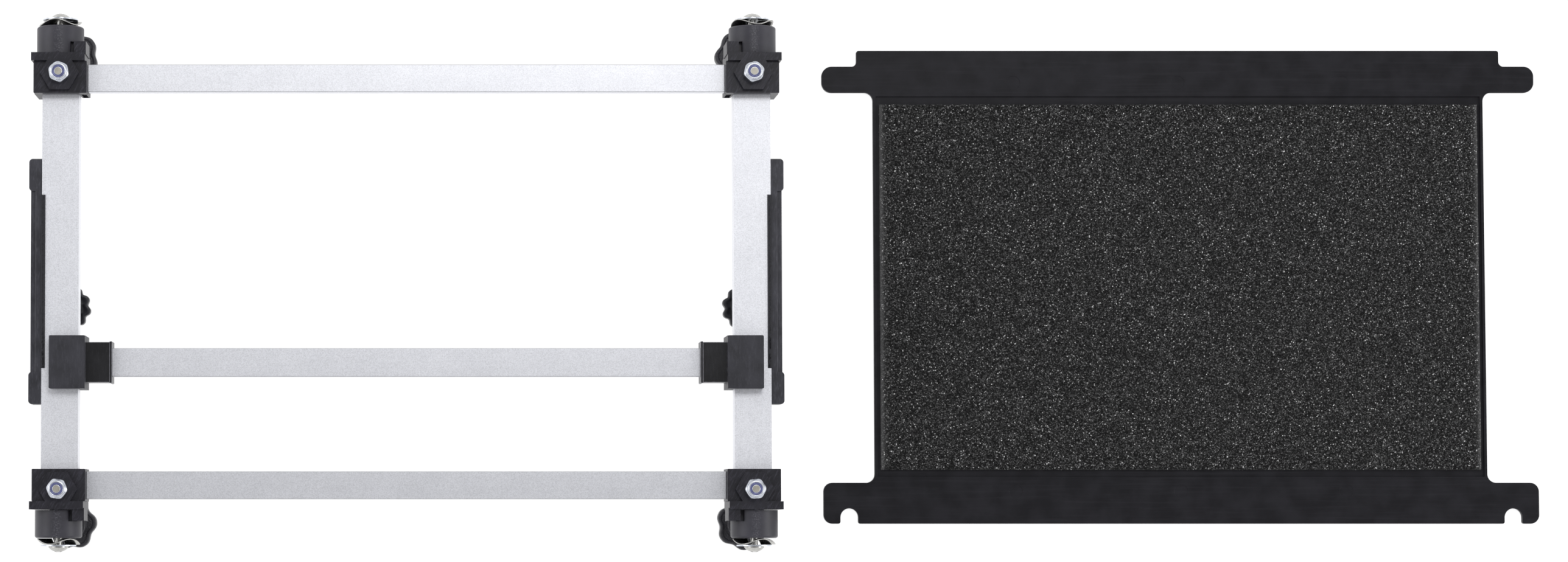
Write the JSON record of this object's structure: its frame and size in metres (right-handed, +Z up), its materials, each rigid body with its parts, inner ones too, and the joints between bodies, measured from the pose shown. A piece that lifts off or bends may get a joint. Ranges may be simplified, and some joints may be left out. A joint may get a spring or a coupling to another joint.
{
  "type": "enlarging easel",
  "caption": "Aluminium easel frame with a sliding crossbar on folding legs with star-knob feet, and its loose foam-faced baseboard beside it.",
  "frame": {"origin": "on the floor, under the middle of the box around the frame and the board together", "axes": "+X from the frame to the board, +Y to the rear, +Z up"},
  "size_m": [1.051, 0.3676, 0.1072],
  "materials": {
    "aluminium": "mill finish, satin",
    "crossbar_aluminium": "mill finish, satin",
    "leg_tube_aluminium": "mill finish, satin",
    "block_plastic": "moulded, satin",
    "hub_plastic": "moulded, satin",
    "insert_plastic": "moulded, satin",
    "knob_plastic": "moulded with a pebbled face",
    "grip_plastic": "moulded, satin",
    "strip_foam": "grainy, matt",
    "slider_plastic": "fine texture, matt",
    "sleeve_plastic": "moulded, satin",
    "liner_plastic": "smooth, low friction",
    "zinc_steel": "bright zinc plate",
    "nickel_steel": "nickel plate",
    "lock_ring_nylon": "smooth",
    "pad_rubber": "matt",
    "board_plastic": "moulded, satin",
    "foam": "open-cell foam, matt"
  },
  "bodies": {
    "frame": {"side_rail_left": "aluminium", "side_rail_right": "aluminium", "end_tube_rear": "aluminium", "end_tube_front": "aluminium", "corner_block_rear_left": "block_plastic", "corner_block_rear_right": "block_plastic", "corner_block_front_left": "block_plastic", "corner_block_front_right": "block_plastic", "corner_bolts": "zinc_steel", "corner_washers": "zinc_steel", "corner_nuts": "zinc_steel", "nut_lock_rings": "lock_ring_nylon", "side_grip_left": "grip_plastic", "side_grip_right": "grip_plastic", "grip_strip_left": "strip_foam", "grip_strip_right": "strip_foam", "grip_screws": "zinc_steel", "pivot_screws": "nickel_steel", "wave_washers": "nickel_steel", "flat_washers": "nickel_steel"},
    "crossbar": {"crossbar_tube": "crossbar_aluminium", "slider_left": "slider_plastic", "slider_right": "slider_plastic", "tube_sleeve_left": "sleeve_plastic", "tube_sleeve_right": "sleeve_plastic", "glide_liner_left": "liner_plastic", "glide_liner_right": "liner_plastic", "sleeve_screws": "zinc_steel"},
    "clamp_knob_left": {"clamp_knob_left": "knob_plastic", "clamp_stud_left": "zinc_steel"},
    "clamp_knob_right": {"clamp_knob_right": "knob_plastic", "clamp_stud_right": "zinc_steel"},
    "leg_rear_left": {"leg_hub_rear_left": "hub_plastic", "leg_tube_rear_left": "leg_tube_aluminium", "leg_insert_rear_left": "insert_plastic"},
    "leg_rear_right": {"leg_hub_rear_right": "hub_plastic", "leg_tube_rear_right": "leg_tube_aluminium", "leg_insert_rear_right": "insert_plastic"},
    "leg_front_left": {"leg_hub_front_left": "hub_plastic", "leg_tube_front_left": "leg_tube_aluminium", "leg_insert_front_left": "insert_plastic"},
    "leg_front_right": {"leg_hub_front_right": "hub_plastic", "leg_tube_front_right": "leg_tube_aluminium", "leg_insert_front_right": "insert_plastic"},
    "star_foot_rear_left": {"star_knob_rear_left": "knob_plastic", "foot_stud_rear_left": "zinc_steel", "foot_pad_rear_left": "pad_rubber"},
    "star_foot_rear_right": {"star_knob_rear_right": "knob_plastic", "foot_stud_rear_right": "zinc_steel", "foot_pad_rear_right": "pad_rubber"},
    "star_foot_front_left": {"star_knob_front_left": "knob_plastic", "foot_stud_front_left": "zinc_steel", "foot_pad_front_left": "pad_rubber"},
    "star_foot_front_right": {"star_knob_front_right": "knob_plastic", "foot_stud_front_right": "zinc_steel", "foot_pad_front_right": "pad_rubber"},
    "board": {"board_plate": "board_plastic", "foam_pad": "foam"}
  },
  "joints": [
    {"name": "crossbar_slide", "type": "slide", "parent": "frame", "child": "crossbar", "axis": [0, 1, 0], "range_m": [-0.0528, 0.1232]},
    {"name": "clamp_knob_left_turn", "type": "hinge", "parent": "crossbar", "child": "clamp_knob_left", "pos_m": [-0.5022, -0.0152, 0.063], "axis": [0, 0, 1], "continuous": true},
    {"name": "clamp_knob_right_turn", "type": "hinge", "parent": "crossbar", "child": "clamp_knob_right", "pos_m": [-0.0362, -0.0152, 0.063], "axis": [0, 0, 1], "continuous": true},
    {"name": "leg_rear_left_fold", "type": "hinge", "parent": "frame", "child": "leg_rear_left", "pos_m": [-0.5052, 0.1647, 0.081], "axis": [0, 1, 0], "range_deg": [0, 90]},
    {"name": "leg_rear_right_fold", "type": "hinge", "parent": "frame", "child": "leg_rear_right", "pos_m": [-0.0332, 0.1647, 0.081], "axis": [0, -1, 0], "range_deg": [0, 90]},
    {"name": "leg_front_left_fold", "type": "hinge", "parent": "frame", "child": "leg_front_left", "pos_m": [-0.5052, -0.1647, 0.081], "axis": [0, 1, 0], "range_deg": [0, 90]},
    {"name": "leg_front_right_fold", "type": "hinge", "parent": "frame", "child": "leg_front_right", "pos_m": [-0.0332, -0.1647, 0.081], "axis": [0, -1, 0], "range_deg": [0, 90]},
    {"name": "star_foot_rear_left_turn", "type": "hinge", "parent": "leg_rear_left", "child": "star_foot_rear_left", "pos_m": [-0.5042, 0.1647, 0], "axis": [0, 0, 1], "continuous": true},
    {"name": "star_foot_rear_right_turn", "type": "hinge", "parent": "leg_rear_right", "child": "star_foot_rear_right", "pos_m": [-0.0342, 0.1647, 0], "axis": [0, 0, 1], "continuous": true},
    {"name": "star_foot_front_left_turn", "type": "hinge", "parent": "leg_front_left", "child": "star_foot_front_left", "pos_m": [-0.5042, -0.1647, 0], "axis": [0, 0, 1], "continuous": true},
    {"name": "star_foot_front_right_turn", "type": "hinge", "parent": "leg_front_right", "child": "star_foot_front_right", "pos_m": [-0.0342, -0.1647, 0], "axis": [0, 0, 1], "continuous": true},
    {"name": "board_lift", "type": "slide", "parent": "frame", "child": "board", "axis": [0, 0, 1], "range_m": [0, 0.15]}
  ]
}
